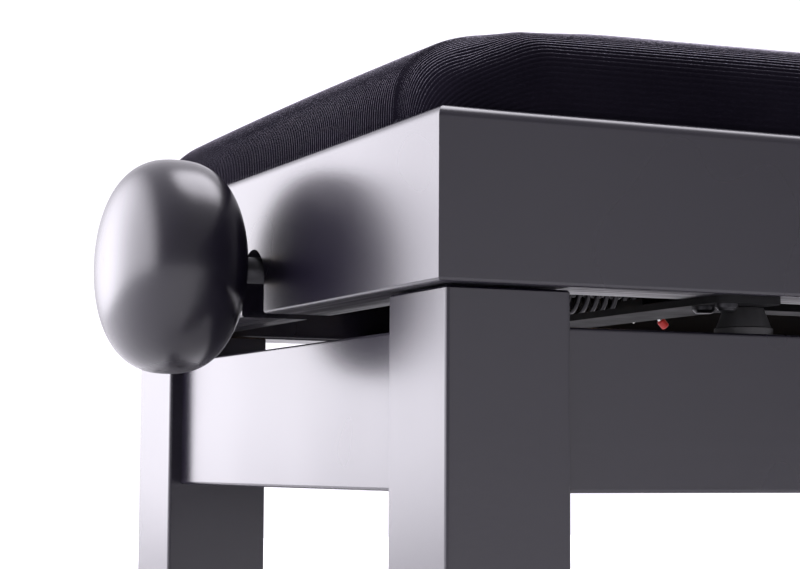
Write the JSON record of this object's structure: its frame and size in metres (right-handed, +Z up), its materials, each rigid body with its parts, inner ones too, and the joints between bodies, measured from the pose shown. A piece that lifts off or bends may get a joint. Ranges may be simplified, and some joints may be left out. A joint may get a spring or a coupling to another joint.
{
  "type": "adjustable piano bench",
  "caption": "Height-adjustable piano bench: padded ribbed-fabric seat on a black wooden frame, raised by a knob-turned screw and scissor lift above a four-legged base.",
  "frame": {"origin": "on the floor under the middle of the bench, at the bottom of the foot glides", "axes": "+X along the bench through the knobs, +Y towards the back long side, +Z up"},
  "size_m": [0.672, 0.33, 0.484],
  "materials": {
    "black_lacquered_wood": "satin black lacquer",
    "black_painted_steel": "semi-matt black paint",
    "zinc_steel": "zinc plated",
    "bright_steel": "bright drawn",
    "blackened_steel": "blackened and oiled",
    "brass": "machined",
    "red_plastic": "matt",
    "nylon": "matt",
    "black_rubber": "matt",
    "raw_wood": "sawn, unfinished",
    "plywood": "raw plywood",
    "foam": "open-cell foam",
    "ribbed_fabric": "fine corduroy, matt with a soft sheen"
  },
  "bodies": {
    "base": {"leg_front_left": "black_lacquered_wood", "leg_front_right": "black_lacquered_wood", "leg_back_left": "black_lacquered_wood", "leg_back_right": "black_lacquered_wood", "apron_front": "black_lacquered_wood", "apron_back": "black_lacquered_wood", "apron_left": "black_lacquered_wood", "apron_right": "black_lacquered_wood", "corner_brackets": "black_painted_steel", "leg_hanger_bolts": "zinc_steel", "leg_bolt_washers": "zinc_steel", "leg_bolt_nuts": "zinc_steel", "bracket_screws": "zinc_steel", "foot_glides": "nylon", "rubber_buffers": "black_rubber", "buffer_screws": "zinc_steel", "lower_rail_front": "black_painted_steel", "lower_rail_back": "black_painted_steel", "lower_rail_screws": "zinc_steel", "lower_pivot_shaft": "zinc_steel", "lower_pivot_spacers": "zinc_steel", "lower_pivot_clips": "zinc_steel"},
    "seat": {"seat_rail_front": "black_lacquered_wood", "seat_rail_back": "black_lacquered_wood", "seat_rail_left": "black_lacquered_wood", "seat_rail_right": "black_lacquered_wood", "seat_corner_blocks": "raw_wood", "seat_board": "plywood", "seat_foam": "foam", "seat_cover": "ribbed_fabric", "cover_staples": "zinc_steel", "board_screws": "zinc_steel", "crossbar_left": "black_painted_steel", "crossbar_right": "black_painted_steel", "crossbar_screws": "blackened_steel", "upper_rail_front": "black_painted_steel", "upper_rail_back": "black_painted_steel", "spindle_bearing_left": "black_painted_steel", "spindle_bearing_right": "black_painted_steel", "upper_pivot_studs": "zinc_steel", "upper_pivot_clips": "zinc_steel", "assist_spring": "blackened_steel"},
    "spindle": {"spindle": "blackened_steel", "knob_left": "black_lacquered_wood", "knob_right": "black_lacquered_wood", "knob_bushes": "brass", "spindle_collars": "zinc_steel"},
    "nut": {"nut_bar": "black_painted_steel", "nut_bar_spacers": "zinc_steel", "nut_bar_clips": "zinc_steel", "split_pin": "bright_steel", "pin_cap": "red_plastic"},
    "outer_arms": {"outer_arm_front": "black_painted_steel", "outer_arm_back": "black_painted_steel", "centre_rivets": "zinc_steel"},
    "inner_arms": {"inner_arm_front": "black_painted_steel", "inner_arm_back": "black_painted_steel", "roller_shaft": "zinc_steel", "roller_shaft_clips": "zinc_steel"},
    "rollers": {"rollers": "nylon"}
  },
  "joints": [
    {"name": "seat_lift", "type": "slide", "parent": "base", "child": "seat", "axis": [0, 0, 1], "range_m": [0, 0.09]},
    {"name": "spindle_turn", "type": "hinge", "parent": "seat", "child": "spindle", "pos_m": [0, 0, 0.41], "axis": [1, 0, 0], "range_deg": [-1, 4413.74]},
    {"name": "nut_slide", "type": "slide", "parent": "seat", "child": "nut", "axis": [1, 0, 0], "range_m": [-0.0001, 0.03687], "deforming": ["assist_spring"]},
    {"name": "outer_arm_swing", "type": "hinge", "parent": "base", "child": "outer_arms", "pos_m": [0.14, 0, 0.362], "axis": [0, 1, 0], "range_deg": [-0.1, 22.47]},
    {"name": "inner_arm_swing", "type": "hinge", "parent": "seat", "child": "inner_arms", "pos_m": [0.14, 0, 0.41], "axis": [0, -1, 0], "range_deg": [-0.1, 22.47]},
    {"name": "roller_roll", "type": "hinge", "parent": "inner_arms", "child": "rollers", "pos_m": [-0.106, 0, 0.362], "axis": [0, 1, 0], "range_deg": [-1, 324.36]}
  ],
  "couplings": [
    {"joint": "spindle_turn", "follows": "seat_lift", "rad_per_m": 855.74},
    {"joint": "nut_slide", "follows": "seat_lift", "ratio": 0.40859},
    {"joint": "outer_arm_swing", "follows": "seat_lift", "rad_per_m": 4.3375},
    {"joint": "inner_arm_swing", "follows": "seat_lift", "rad_per_m": 4.3375},
    {"joint": "roller_roll", "follows": "seat_lift", "rad_per_m": 62.707}
  ]
}
